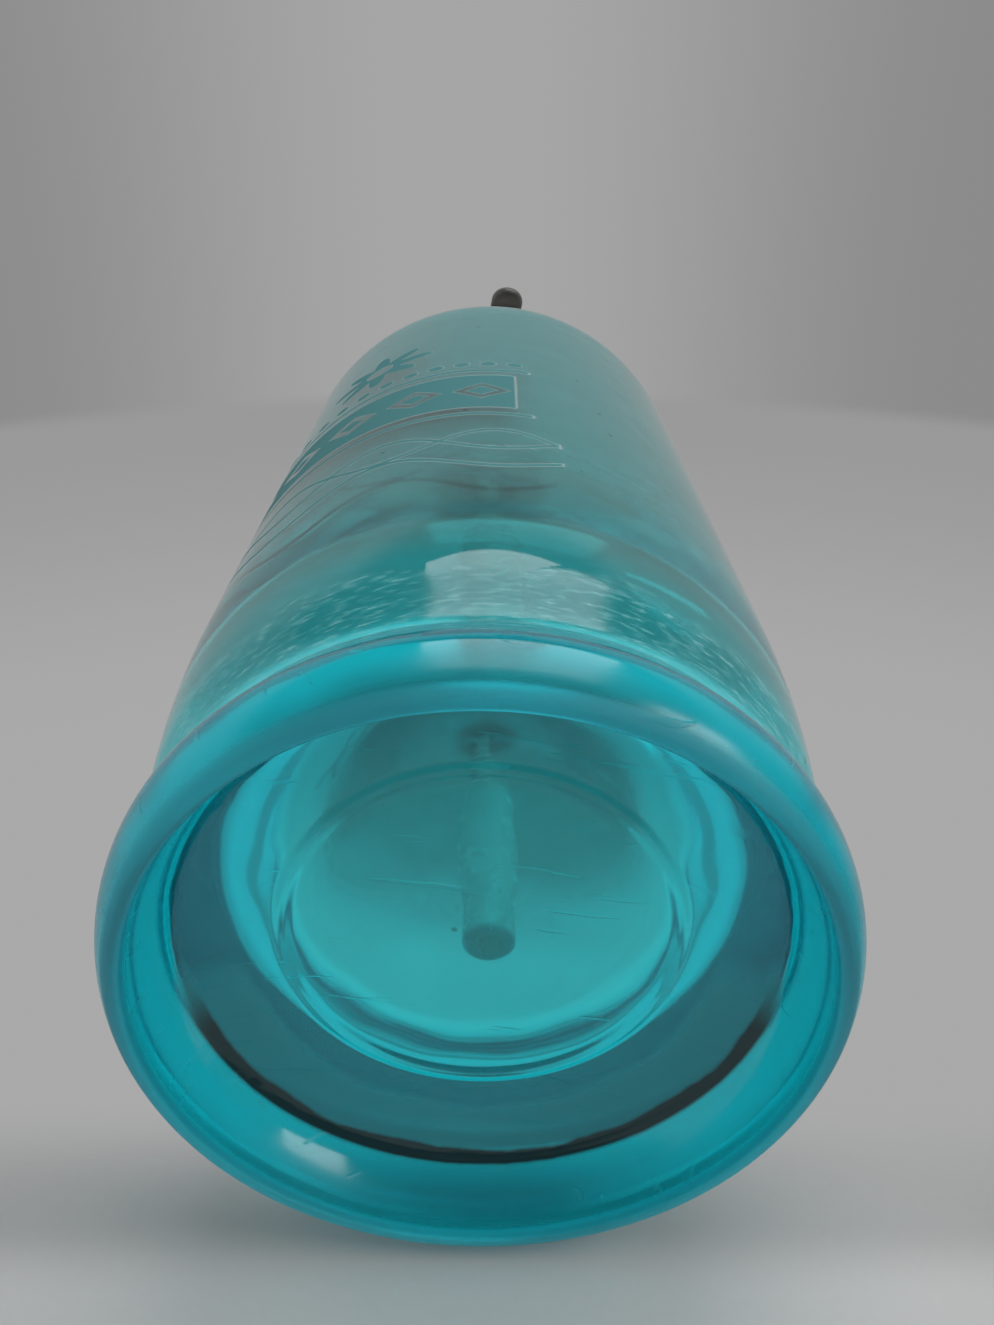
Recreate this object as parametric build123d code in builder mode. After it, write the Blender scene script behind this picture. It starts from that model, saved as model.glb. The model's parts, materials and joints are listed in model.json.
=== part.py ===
"""Soda siphon: a thick glass bottle with a metal valve head, hand lever and spout.

Frame: the bottle stands on its foot. +Z runs up the bottle's axis and z = 0 is the plane it rests on.
The spout points to -Y and the lever's thumb end to +Y. All sizes are in millimetres.
"""

import os
from math import acos, asin, degrees, radians, sin, tan

from build123d import *

# ---------------------------------------------------------------- bottle
foot_radius = 50.0
foot_bulge_height = 8.4
foot_crease_slope = 0.8
ring_inner_radius = 45.0
ring_outer_radius = 46.2
recess_radius = 40.5
recess_depth = 11.0
recess_root_radius = 2.0
recess_flare_slope = 0.9
step_radius = 27.5
step_rise = 4.4
step_edge_radius = 1.2
crown_rise = 0.5
waist_radius = 47.3
waist_height = 18.0
heel_swell_radius = 49.8
heel_swell_height = 28.0
heel_swell_slope = 0.15
body_radius = 52.0
body_start_height = 60.0
body_length = 128.0
shoulder_radius = 54.0
neck_radius = 15.5
neck_root_radius = 7.0
bead_radius = 18.5
bead_height = 8.0
bead_edge_radius = 1.6
neck_length = 30.9
mouth_radius = 10.0
mouth_edge_radius = 1.2
body_wall = 6.5
base_thickness = 8.1
heel_radius = 24.0

# ---------------------------------------------------------------- dip tube and seals
tube_radius = 4.25
tube_bore_radius = 2.2
tube_floor_gap = 4.0
tube_straight = 50.0
tube_bend_radius = 1800.0
tube_bend_turn = -14.0
tube_end_radius = 0.9
tube_flange_radius = 14.5
tube_flange_thickness = 3.0
tube_flange_root_radius = 1.5
seal_thickness = 1.5
seal_inset = 1.0

# ---------------------------------------------------------------- split collar
collar_radius = 21.5
collar_depth = 8.0
collar_lip_height = 4.0
collar_split = 1.0
collar_chamfer = 0.6
collar_clearance = 0.25
thread_clearance = 0.1

# ---------------------------------------------------------------- head body
skirt_wall = 3.4
skirt_overhang = 2.0
skirt_band_height = 4.0
skirt_band_step = 0.9
throat_clearance = 1.0
throat_gap = 1.0
bell_rise = 18.0
tower_radius = 12.5
tower_rise = 8.0
tower_edge_radius = 0.8
chamber_radius = 8.0
chamber_height = 17.0
web_thickness = 2.5
upper_bore_radius = 8.5

# ---------------------------------------------------------------- valve
running_clearance = 0.05
fit_clearance = 0.02
face_clearance = 0.05
seat_height = 7.0
seat_bore_radius = 3.2
seat_lip_radius = 4.4
seat_lip_height = 1.0
washer_radius = 5.6
washer_thickness = 2.5
cup_wall = 0.9
cup_floor = 1.6
cup_lip = 0.9
screw_head_radius = 2.3
screw_head_height = 1.1
screw_shank_radius = 1.1
screw_shank_length = 6.0
screw_slot_width = 0.7
screw_slot_depth = 0.5
stem_radius = 3.0
packing_thickness = 3.0
gland_thickness = 3.5
gland_slot_width = 1.6
gland_slot_depth = 1.2
plunger_radius = 6.0
plunger_gap = 0.8
plunger_foot = 1.6
plunger_top_wall = 2.5
spigot_radius = 3.2
spigot_height = 3.5

# ---------------------------------------------------------------- spring
spring_wire_radius = 0.55
spring_coil_radius = 4.6
spring_turns = 5.5
spring_length = 10.0

# ---------------------------------------------------------------- cap
cap_gasket_thickness = 1.0
cap_gasket_inset = 0.6
cap_radius = 13.2
cap_flange_height = 4.2
cap_spigot_depth = 3.5
cap_spigot_wall = 1.4
cap_dome_radius = 11.0
cap_dome_height = 5.0
cap_flute_count = 20
cap_flute_radius = 0.9

# ---------------------------------------------------------------- lever, ears and pin
pivot_offset = 14.0
pin_radius = 1.8
press_angle = 15.0
nose_radius = 2.3
nose_clearance = 0.2
nose_drop = 1.3
arm_thickness = 3.4
swing_clearance = 0.35
lever_width = 5.6
side_gap = 0.3
hub_radius = 4.0
lever_run = 16.0
lever_bend_radius = 16.0
lever_bend_angle = 48.0
lever_tail = 20.0
lever_edge_radius = 0.8
thumb_width = 10.7
thumb_length = 12.0
thumb_flare_length = 9.0
ear_thickness = 3.0
ear_radius = 5.2
ear_root_drop = 9.0
ear_root_rise = 6.0
pin_head_radius = 2.9
pin_head_height = 1.2
pin_screw_radius = 0.9
pin_screw_length = 4.0

# ---------------------------------------------------------------- spout
spout_rise = 13.0
spout_radius = 4.6
spout_bore_radius = 1.9
boss_radius = 6.4
boss_face = 21.0
spout_seal_thickness = 1.0
spout_flange_radius = 6.1
spout_flange_thickness = 1.5
nut_across_flats = 15.0
nut_length = 8.0
nut_wall = 2.0
nut_chamfer = 0.7
spout_run = 18.0
spout_bend_radius = 17.0
spout_bend_angle = 68.0
spout_drop = 9.0
nozzle_radius = 5.6
nozzle_mouth_radius = 4.4
nozzle_length = 13.0
nozzle_taper_length = 5.0
nozzle_engagement = 6.0

MATCH_TOLERANCE = 0.01



def arc_turn(start_radius, arc_radius, end_radius):
    """The turn in degrees of an arc that starts upright at one radius and closes in to another."""
    return degrees(acos(1 - (start_radius - end_radius) / arc_radius))


# ---------------------------------------------------------------- levels and radii that follow from these
floor_height = recess_depth + step_rise + crown_rise + base_thickness
shoulder_start_height = body_start_height + body_length
shoulder_turn = arc_turn(body_radius, shoulder_radius, neck_radius)
neck_bottom = shoulder_start_height + shoulder_radius * sin(radians(shoulder_turn))
lip_height = neck_bottom + neck_length
bead_bottom = lip_height - bead_height
cavity_radius = body_radius - body_wall
inner_shoulder_radius = shoulder_radius - body_wall
floor_radius = cavity_radius - heel_radius
tube_flange_bottom = lip_height + seal_thickness
tube_flange_top = tube_flange_bottom + tube_flange_thickness
head_bottom = tube_flange_top + seal_thickness
lip_seal_radius = bead_radius - bead_edge_radius - seal_inset / 2
collar_bottom = bead_bottom - collar_depth
collar_top = bead_bottom + collar_lip_height
skirt_bottom = collar_bottom - skirt_overhang
skirt_bore_radius = collar_radius + thread_clearance
skirt_radius = skirt_bore_radius + skirt_wall
throat_radius = lip_seal_radius + throat_clearance
throat_bottom = lip_height + throat_gap
bell_start = throat_bottom - skirt_overhang
bell_top = bell_start + bell_rise
chamber_top = head_bottom + chamber_height
packing_bottom = chamber_top + web_thickness
packing_top = packing_bottom + packing_thickness
gland_top = packing_top + gland_thickness
seat_body_top = head_bottom + seat_height
washer_bottom = seat_body_top + seat_lip_height + face_clearance
washer_top = washer_bottom + washer_thickness
cup_top = washer_top + cup_floor
plunger_bottom = gland_top + plunger_gap
slot_bottom = plunger_bottom + plunger_foot
pivot_height = slot_bottom + nose_drop + nose_radius
slot_top = pivot_height + nose_radius + nose_clearance
tower_top = pivot_height + tower_rise
plunger_top = slot_top + plunger_top_wall
slot_width = lever_width + 2 * side_gap
arm_tilt_rise = (pivot_offset - plunger_radius) * tan(radians(press_angle))
window_bottom = pivot_height - arm_thickness / 2 - swing_clearance
window_top = pivot_height + arm_thickness / 2 + arm_tilt_rise + swing_clearance
cap_bottom = tower_top + cap_gasket_thickness
cap_bore_radius = upper_bore_radius - thread_clearance - cap_spigot_wall
cap_ceiling = plunger_top + spring_length
cap_flange_top = cap_bottom + cap_flange_height
cap_top = cap_flange_top + cap_dome_height
ear_face = slot_width / 2 + ear_thickness
spout_height = head_bottom + spout_rise
spout_seal_face = boss_face + spout_seal_thickness
spout_flange_face = spout_seal_face + spout_flange_thickness
nut_face = spout_flange_face + nut_wall


def washer_ring(inner_radius, outer_radius, bottom, thickness):
    """A flat ring about the bottle's axis, with its lower face at the height bottom."""
    with BuildPart() as flat_ring:
        with BuildSketch(Plane.XY.offset(bottom)):
            Circle(outer_radius)
            Circle(inner_radius, mode=Mode.SUBTRACT)
        extrude(amount=thickness)
    return flat_ring


def turned(points):
    """A body turned about the bottle's axis from an outline of (radius, height) corners."""
    with BuildPart() as body:
        with BuildSketch(Plane.XZ):
            with BuildLine():
                Polyline(*points, close=True)
            make_face()
        revolve(axis=Axis.Z)
    return body


def circles_at(part, radius, height):
    """The round edges of a part that have this radius and lie at this height."""
    rounds = part.edges().filter_by(GeomType.CIRCLE)
    rounds = rounds.filter_by(lambda edge: abs(edge.radius - radius) < MATCH_TOLERANCE)
    return rounds.filter_by(lambda edge: abs(edge.center().Z - height) < MATCH_TOLERANCE)


# ================================================================ bottle
with BuildPart() as bottle:
    with BuildSketch(Plane.XZ):
        with BuildLine():
            crown = TangentArc(
                (0, recess_depth + step_rise + crown_rise),
                (step_radius, recess_depth + step_rise),
                tangent=(1, 0),
            )
            slope = Line(crown @ 1, (recess_radius, recess_depth))
            flare = Spline(
                slope @ 1,
                (ring_inner_radius, 0),
                tangents=[(recess_flare_slope, -1), (0, -1)],
            )
            resting_ring = Line(flare @ 1, (ring_outer_radius, 0))
            foot_under = Spline(
                resting_ring @ 1,
                (foot_radius, foot_bulge_height),
                tangents=[(1, foot_crease_slope), (0, 1)],
            )
            foot_over = Spline(foot_under @ 1, (waist_radius, waist_height), tangents=[(0, 1), (0, 1)])
            swell = Spline(
                foot_over @ 1,
                (heel_swell_radius, heel_swell_height),
                tangents=[(0, 1), (heel_swell_slope, 1)],
            )
            rise = Spline(
                swell @ 1,
                (body_radius, body_start_height),
                tangents=[(heel_swell_slope, 1), (0, 1)],
            )
            side = Line(rise @ 1, (body_radius, shoulder_start_height))
            shoulder = JernArc(side @ 1, (0, 1), shoulder_radius, shoulder_turn)
            neck = Line(shoulder @ 1, (neck_radius, bead_bottom))
            Polyline(
                neck @ 1,
                (bead_radius, bead_bottom),
                (bead_radius, lip_height),
                (0, lip_height),
                crown @ 0,
            )
        make_face()
    revolve(axis=Axis.Z)
    fillet(circles_at(bottle, neck_radius, neck_bottom), neck_root_radius)
    fillet(circles_at(bottle, recess_radius, recess_depth), recess_root_radius)
    fillet(circles_at(bottle, step_radius, recess_depth + step_rise), step_edge_radius)
    with BuildSketch(Plane.XZ):
        with BuildLine():
            floor = Line((0, floor_height), (floor_radius, floor_height))
            heel = JernArc(floor @ 1, (1, 0), heel_radius, 90)
            wall = Line(heel @ 1, (cavity_radius, shoulder_start_height))
            dome = JernArc(
                wall @ 1,
                (0, 1),
                inner_shoulder_radius,
                arc_turn(cavity_radius, inner_shoulder_radius, mouth_radius),
            )
            Polyline(dome @ 1, (mouth_radius, lip_height), (0, lip_height), floor @ 0)
        make_face()
    revolve(axis=Axis.Z, mode=Mode.SUBTRACT)
    fillet(circles_at(bottle, bead_radius, lip_height), bead_edge_radius)
    fillet(circles_at(bottle, bead_radius, bead_bottom), bead_edge_radius)
    fillet(circles_at(bottle, mouth_radius, lip_height), mouth_edge_radius)

# ================================================================ dip tube and seals
tube_bottom = floor_height + tube_floor_gap
tube_bend_top = tube_flange_bottom - tube_straight
tube_bend_angle = degrees(asin((tube_bend_top - tube_bottom) / tube_bend_radius))
with BuildPart() as dip_tube:
    with BuildLine(Plane.YZ.rotated((0, 0, tube_bend_turn))) as tube_path:
        straight = Line((0, tube_flange_top), (0, tube_bend_top))
        JernArc(straight @ 1, (0, 0, -1), tube_bend_radius, -tube_bend_angle)
    with BuildSketch(Plane.XY.offset(tube_flange_top)):
        Circle(tube_radius)
    sweep()
    with BuildSketch(Plane.XY.offset(tube_flange_bottom)):
        Circle(tube_flange_radius)
    extrude(amount=tube_flange_thickness)
    fillet(circles_at(dip_tube, tube_radius, tube_flange_bottom), tube_flange_root_radius)
    with BuildSketch(Plane.XY.offset(tube_flange_top)):
        Circle(tube_bore_radius)
    sweep(path=tube_path.line, mode=Mode.SUBTRACT)
    tube_end = dip_tube.faces().sort_by(Axis.Z)[0]
    fillet(tube_end.outer_wire().edges(), tube_end_radius)

lip_gasket = washer_ring(mouth_radius + seal_inset, lip_seal_radius, lip_height, seal_thickness)
tube_gasket = washer_ring(
    tube_bore_radius + seal_inset,
    tube_flange_radius - seal_inset,
    tube_flange_top,
    seal_thickness,
)

# ================================================================ split collar under the bead
collar_outline = [
    (neck_radius + collar_clearance, collar_bottom),
    (collar_radius, collar_bottom),
    (collar_radius, collar_top),
    (bead_radius + collar_clearance, collar_top),
    (bead_radius + collar_clearance, bead_bottom),
    (neck_radius + collar_clearance, bead_bottom),
]


def collar_half(side):
    """One half of the split ring that grips the neck, on the side of +X (1) or -X (-1)."""
    with BuildPart() as half:
        with BuildSketch(Plane.XZ):
            with BuildLine():
                Polyline(*collar_outline, close=True)
            make_face()
        revolve(axis=Axis.Z)
        chamfer(circles_at(half, collar_radius, collar_bottom), collar_chamfer)
        chamfer(circles_at(half, collar_radius, collar_top), collar_chamfer)
        cut_face = Plane.YZ.offset(side * collar_split / 2)
        split(bisect_by=cut_face, keep=Keep.TOP if side > 0 else Keep.BOTTOM)
    return half


collar_half_left = collar_half(-1)
collar_half_right = collar_half(1)

# ================================================================ head body
with BuildPart() as head_body:
    with BuildSketch(Plane.XZ):
        with BuildLine():
            band_radius = skirt_radius + skirt_band_step
            band_top = skirt_bottom + skirt_band_height
            skirt = Polyline(
                (0, skirt_bottom),
                (band_radius, skirt_bottom),
                (band_radius, band_top),
                (skirt_radius, band_top + skirt_band_step),
                (skirt_radius, bell_start),
            )
            bell = Spline(skirt @ 1, (tower_radius, bell_top), tangents=[(0, 1), (0, 1)])
            Polyline(bell @ 1, (tower_radius, tower_top), (0, tower_top), skirt @ 0)
        make_face()
    revolve(axis=Axis.Z)
    fillet(circles_at(head_body, band_radius, band_top), skirt_band_step)
    fillet(circles_at(head_body, band_radius, skirt_bottom), skirt_band_step)
    fillet(circles_at(head_body, tower_radius, tower_top), tower_edge_radius)
    # boss for the spout
    with BuildSketch(Plane.XZ):
        with Locations((0, spout_height)):
            Circle(boss_radius)
    extrude(amount=boss_face)
    # two ears for the lever's pin
    with BuildSketch(Plane.YZ.offset(slot_width / 2)) as ear:
        with Locations((pivot_offset, pivot_height)):
            Circle(ear_radius)
        with BuildLine():
            Line(
                (tower_radius - ear_thickness, pivot_height - ear_root_drop),
                (tower_radius - ear_thickness, pivot_height + ear_root_rise),
            )
        make_hull(ear.edges() + ear.pending_edges)
    extrude(amount=ear_thickness)
    mirror(about=Plane.YZ)
    # bores along the axis: skirt, throat over the lip, valve chamber, stem hole, upper bore
    bores = [
        (skirt_bore_radius, skirt_bottom, throat_bottom),
        (throat_radius, skirt_bottom, head_bottom),
        (chamber_radius, skirt_bottom, chamber_top),
        (stem_radius + running_clearance, skirt_bottom, packing_bottom),
        (upper_bore_radius, packing_bottom, tower_top),
    ]
    for bore_radius, bore_bottom, bore_top in bores:
        with BuildSketch(Plane.XY.offset(bore_bottom)):
            Circle(bore_radius)
        extrude(amount=bore_top - bore_bottom, mode=Mode.SUBTRACT)
    # outlet from the valve chamber through the boss
    with BuildSketch(Plane.XZ):
        with Locations((0, spout_height)):
            Circle(spout_bore_radius)
    extrude(amount=boss_face, mode=Mode.SUBTRACT)
    # pocket for the lever's hub and the window for its arm
    with BuildSketch(Plane.YZ):
        with Locations((pivot_offset, pivot_height)):
            Circle(hub_radius + swing_clearance)
            Rectangle(2 * ear_radius, 2 * ear_radius, align=(Align.MIN, Align.CENTER))
        with Locations((0, window_bottom)):
            Rectangle(pivot_offset, window_top - window_bottom, align=Align.MIN)
    extrude(amount=slot_width / 2, both=True, mode=Mode.SUBTRACT)
    # holes for the pin
    with BuildSketch(Plane.YZ):
        with Locations((pivot_offset, pivot_height)):
            Circle(pin_radius + fit_clearance)
    extrude(amount=ear_face, both=True, mode=Mode.SUBTRACT)

# ================================================================ valve
valve_seat = turned(
    [
        (seat_bore_radius, head_bottom),
        (chamber_radius - fit_clearance, head_bottom),
        (chamber_radius - fit_clearance, seat_body_top),
        (seat_lip_radius, seat_body_top),
        (seat_lip_radius - seat_lip_height / 2, seat_body_top + seat_lip_height),
        (seat_bore_radius, seat_body_top + seat_lip_height),
    ]
)
washer_hole_radius = screw_shank_radius + fit_clearance
valve_washer = washer_ring(washer_hole_radius, washer_radius, washer_bottom, washer_thickness)
cup_bore_radius = washer_radius + fit_clearance
washer_cup = turned(
    [
        (washer_hole_radius, washer_top),
        (cup_bore_radius, washer_top),
        (cup_bore_radius, washer_bottom + cup_lip),
        (cup_bore_radius + cup_wall, washer_bottom + cup_lip),
        (cup_bore_radius + cup_wall, cup_top),
        (washer_hole_radius, cup_top),
    ]
)

with BuildPart() as washer_screw:
    with BuildSketch(Plane.XY.offset(washer_bottom)):
        Circle(screw_head_radius)
    extrude(amount=-screw_head_height)
    with BuildSketch(Plane.XY.offset(washer_bottom - screw_head_height)):
        Rectangle(2 * screw_head_radius, screw_slot_width)
    extrude(amount=screw_slot_depth, mode=Mode.SUBTRACT)
    with BuildSketch(Plane.XY.offset(washer_bottom)):
        Circle(screw_shank_radius)
    extrude(amount=screw_shank_length)

with BuildPart() as plunger:
    with BuildSketch(Plane.XY.offset(cup_top)):
        Circle(stem_radius)
    extrude(amount=plunger_bottom - cup_top)
    with BuildSketch(Plane.XY.offset(plunger_bottom)):
        Circle(plunger_radius)
    extrude(amount=plunger_top - plunger_bottom)
    with BuildSketch(Plane.XY.offset(plunger_top)):
        Circle(spigot_radius)
    extrude(amount=spigot_height)
    # slot that the lever's nose works in
    with BuildSketch(Plane.XZ):
        with Locations((0, slot_bottom)):
            Rectangle(slot_width, slot_top - slot_bottom, align=(Align.CENTER, Align.MIN))
    extrude(amount=plunger_radius, both=True, mode=Mode.SUBTRACT)
    # threaded hole for the washer's screw
    with BuildSketch(Plane.XY.offset(cup_top)):
        Circle(washer_hole_radius)
    extrude(amount=screw_shank_length, mode=Mode.SUBTRACT)

plunger_packing = washer_ring(
    stem_radius + running_clearance,
    upper_bore_radius - fit_clearance,
    packing_bottom,
    packing_thickness,
)

with BuildPart() as packing_gland:
    with BuildSketch(Plane.XY.offset(packing_top)):
        Circle(upper_bore_radius - fit_clearance)
        Circle(stem_radius + running_clearance, mode=Mode.SUBTRACT)
    extrude(amount=gland_thickness)
    with BuildSketch(Plane.XY.offset(gland_top)):
        Rectangle(2 * upper_bore_radius, gland_slot_width)
    extrude(amount=-gland_slot_depth, mode=Mode.SUBTRACT)

spring_rise = spring_length - 2 * (spring_wire_radius + fit_clearance)
with BuildPart() as valve_spring:
    with BuildLine() as coil:
        Helix(
            pitch=spring_rise / spring_turns,
            height=spring_rise,
            radius=spring_coil_radius,
            center=(0, 0, plunger_top + spring_wire_radius + fit_clearance),
        )
    with BuildSketch(Plane(origin=coil.line @ 0, z_dir=coil.line % 0)):
        Circle(spring_wire_radius)
    sweep(is_frenet=True)

# ================================================================ cap
cap_gasket = washer_ring(
    upper_bore_radius + cap_gasket_inset,
    tower_radius - tower_edge_radius - cap_gasket_inset,
    tower_top,
    cap_gasket_thickness,
)

with BuildPart() as top_cap:
    with BuildSketch(Plane.XZ):
        with BuildLine():
            cap_edge = Polyline(
                (0, cap_bottom),
                (cap_radius, cap_bottom),
                (cap_radius, cap_flange_top),
                (cap_dome_radius, cap_flange_top),
            )
            crown = TangentArc((0, cap_top), cap_edge @ 1, tangent=(1, 0))
            Line(crown @ 0, cap_edge @ 0)
        make_face()
    revolve(axis=Axis.Z)
    fillet(circles_at(top_cap, cap_radius, cap_flange_top), cap_flute_radius)
    with BuildSketch(Plane.XY.offset(cap_bottom)):
        Circle(upper_bore_radius - thread_clearance)
    extrude(amount=-cap_spigot_depth)
    with BuildSketch(Plane.XY.offset(cap_bottom - cap_spigot_depth)):
        Circle(cap_bore_radius)
    extrude(amount=cap_ceiling - cap_bottom + cap_spigot_depth, mode=Mode.SUBTRACT)
    with BuildSketch(Plane.XY.offset(cap_bottom)):
        with PolarLocations(cap_radius + cap_flute_radius / 2, cap_flute_count):
            Circle(cap_flute_radius)
    extrude(amount=cap_flange_height, mode=Mode.SUBTRACT)

# ================================================================ lever and its pin
with BuildPart() as lever:
    with BuildSketch(Plane.YZ):
        with BuildLine():
            arm = Line((0, pivot_height), (lever_run, pivot_height))
            bend = JernArc(arm @ 1, arm % 1, lever_bend_radius, -lever_bend_angle)
            Line(bend @ 1, bend @ 1 + (bend % 1) * (lever_tail + arm_thickness))
        trace(line_width=arm_thickness)
        with Locations((0, pivot_height)):
            Circle(nose_radius)
        with Locations((pivot_offset, pivot_height)):
            Circle(hub_radius)
    extrude(amount=thumb_width / 2, both=True)
    thumb_end = (bend @ 1 + (bend % 1) * lever_tail).X
    flare_start = thumb_end - thumb_length - thumb_flare_length
    with BuildSketch(Plane.XY):
        with BuildLine():
            edge = Polyline(
                (0, -2 * hub_radius),
                (lever_width / 2, -2 * hub_radius),
                (lever_width / 2, flare_start),
            )
            flare = Spline(
                edge @ 1,
                (thumb_width / 2, thumb_end - thumb_length),
                tangents=[(0, 1), (0, 1)],
            )
            blade = Line(flare @ 1, (thumb_width / 2, thumb_end - thumb_width / 2))
            thumb_round = RadiusArc(blade @ 1, (0, thumb_end), -thumb_width / 2)
            Line(thumb_round @ 1, edge @ 0)
        make_face()
        mirror(about=Plane.YZ)
    extrude(amount=tower_top, mode=Mode.INTERSECT)
    rims = lever.edges().filter_by(lambda rim: rim.center().Y > pivot_offset + hub_radius)
    fillet(rims.filter_by(Axis.X, reverse=True), lever_edge_radius)
    with BuildSketch(Plane.YZ):
        with Locations((pivot_offset, pivot_height)):
            Circle(pin_radius + running_clearance)
    extrude(amount=lever_width, both=True, mode=Mode.SUBTRACT)

with BuildPart() as lever_pin:
    with BuildSketch(Plane.YZ.offset(-ear_face)):
        with Locations((pivot_offset, pivot_height)):
            Circle(pin_radius)
    extrude(amount=2 * ear_face)
    with BuildSketch(Plane.YZ.offset(-ear_face)):
        with Locations((pivot_offset, pivot_height)):
            Circle(pin_head_radius)
    extrude(amount=-pin_head_height)
    with BuildSketch(Plane.YZ.offset(ear_face)):
        with Locations((pivot_offset, pivot_height)):
            Circle(pin_screw_radius + fit_clearance)
    extrude(amount=-pin_screw_length, mode=Mode.SUBTRACT)

with BuildPart() as pin_screw:
    with BuildSketch(Plane.YZ.offset(ear_face)):
        with Locations((pivot_offset, pivot_height)):
            Circle(pin_head_radius)
    extrude(amount=pin_head_height)
    with BuildSketch(Plane.YZ.offset(ear_face)):
        with Locations((pivot_offset, pivot_height)):
            Circle(pin_screw_radius)
    extrude(amount=-pin_screw_length)
    with BuildSketch(Plane.YZ.offset(ear_face + pin_head_height)):
        with Locations((pivot_offset, pivot_height)):
            Rectangle(2 * pin_head_radius, screw_slot_width)
    extrude(amount=-screw_slot_depth, mode=Mode.SUBTRACT)

# ================================================================ spout, nut and nozzle
with BuildPart() as spout:
    with BuildLine(Plane.YZ) as spout_path:
        run = Line((-spout_flange_face, spout_height), (-spout_flange_face - spout_run, spout_height))
        turn = JernArc(run @ 1, run % 1, spout_bend_radius, spout_bend_angle)
        Line(turn @ 1, turn @ 1 + (turn % 1) * spout_drop)
    with BuildSketch(Plane(origin=run @ 0, z_dir=run % 0)):
        Circle(spout_radius)
    sweep()
    with BuildSketch(Plane.XZ.offset(spout_seal_face)):
        with Locations((0, spout_height)):
            Circle(spout_flange_radius)
    extrude(amount=spout_flange_thickness)
    with BuildSketch(Plane.XZ.offset(spout_seal_face)):
        with Locations((0, spout_height)):
            Circle(spout_bore_radius)
    extrude(amount=spout_flange_thickness, mode=Mode.SUBTRACT)
    with BuildSketch(Plane(origin=run @ 0, z_dir=run % 0)):
        Circle(spout_bore_radius)
    sweep(path=spout_path.line, mode=Mode.SUBTRACT)

with BuildPart() as spout_gasket:
    with BuildSketch(Plane.XZ.offset(boss_face)):
        with Locations((0, spout_height)):
            Circle(spout_flange_radius)
            Circle(spout_bore_radius + seal_inset, mode=Mode.SUBTRACT)
    extrude(amount=spout_seal_thickness)

with BuildPart() as spout_nut:
    with BuildSketch(Plane.XZ.offset(nut_face)):
        with Locations((0, spout_height)):
            RegularPolygon(nut_across_flats / 2, 6, major_radius=False)
            Circle(spout_radius + thread_clearance, mode=Mode.SUBTRACT)
    extrude(amount=-nut_length)
    with BuildSketch(Plane.XZ.offset(spout_flange_face)):
        with Locations((0, spout_height)):
            Circle(boss_radius + thread_clearance)
    extrude(amount=nut_wall - nut_length, mode=Mode.SUBTRACT)
    nut_ends = spout_nut.edges().filter_by(GeomType.LINE).filter_by(Plane.XZ)
    chamfer(nut_ends, nut_chamfer)

spout_end = spout_path.line @ 1
flow = spout_path.line % 1
nozzle_plane = Plane(origin=spout_end, x_dir=(1, 0, 0), z_dir=Vector(1, 0, 0).cross(flow))
with BuildPart() as nozzle_tip:
    with BuildSketch(nozzle_plane):
        with BuildLine():
            nozzle_end = nozzle_length - nozzle_engagement
            Polyline(
                (spout_radius + fit_clearance, -nozzle_engagement),
                (nozzle_radius, -nozzle_engagement),
                (nozzle_radius, nozzle_end - nozzle_taper_length),
                (nozzle_mouth_radius, nozzle_end),
                (spout_bore_radius, nozzle_end),
                (spout_bore_radius, fit_clearance),
                (spout_radius + fit_clearance, fit_clearance),
                close=True,
            )
        make_face()
    revolve(axis=Axis(spout_end, flow))

# ================================================================ one STEP file for each piece
pieces = {
    "bottle": bottle,
    "dip_tube": dip_tube,
    "lip_gasket": lip_gasket,
    "tube_gasket": tube_gasket,
    "collar_half_left": collar_half_left,
    "collar_half_right": collar_half_right,
    "head_body": head_body,
    "valve_seat": valve_seat,
    "valve_washer": valve_washer,
    "washer_cup": washer_cup,
    "washer_screw": washer_screw,
    "plunger": plunger,
    "plunger_packing": plunger_packing,
    "packing_gland": packing_gland,
    "valve_spring": valve_spring,
    "top_cap": top_cap,
    "cap_gasket": cap_gasket,
    "lever": lever,
    "lever_pin": lever_pin,
    "pin_screw": pin_screw,
    "spout": spout,
    "spout_gasket": spout_gasket,
    "spout_nut": spout_nut,
    "nozzle_tip": nozzle_tip,
}
os.makedirs("parts", exist_ok=True)
for name, piece in pieces.items():
    piece.part.label = name
    export_step(piece.part, f"parts/{name}.step")
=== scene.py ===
"""Soda siphon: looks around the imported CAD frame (metres, the bottle stands on z = 0, its axis is +Z)."""

import json
import math
from types import SimpleNamespace

import bpy
from mathutils import Matrix, Vector, noise


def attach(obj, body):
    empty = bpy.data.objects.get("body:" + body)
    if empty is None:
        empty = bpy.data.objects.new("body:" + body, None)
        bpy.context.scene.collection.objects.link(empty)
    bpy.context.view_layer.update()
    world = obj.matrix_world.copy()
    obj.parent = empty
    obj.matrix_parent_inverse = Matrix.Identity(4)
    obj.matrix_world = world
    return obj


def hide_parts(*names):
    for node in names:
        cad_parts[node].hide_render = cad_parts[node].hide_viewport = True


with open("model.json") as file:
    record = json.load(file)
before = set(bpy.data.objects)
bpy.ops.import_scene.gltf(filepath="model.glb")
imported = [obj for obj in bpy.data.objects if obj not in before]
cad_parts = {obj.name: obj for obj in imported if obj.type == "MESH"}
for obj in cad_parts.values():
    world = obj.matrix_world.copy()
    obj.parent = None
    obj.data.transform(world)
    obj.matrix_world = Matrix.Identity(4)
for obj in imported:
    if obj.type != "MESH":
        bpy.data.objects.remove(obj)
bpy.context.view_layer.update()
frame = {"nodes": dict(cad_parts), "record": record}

MM = 0.001
scene = bpy.context.scene

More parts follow.
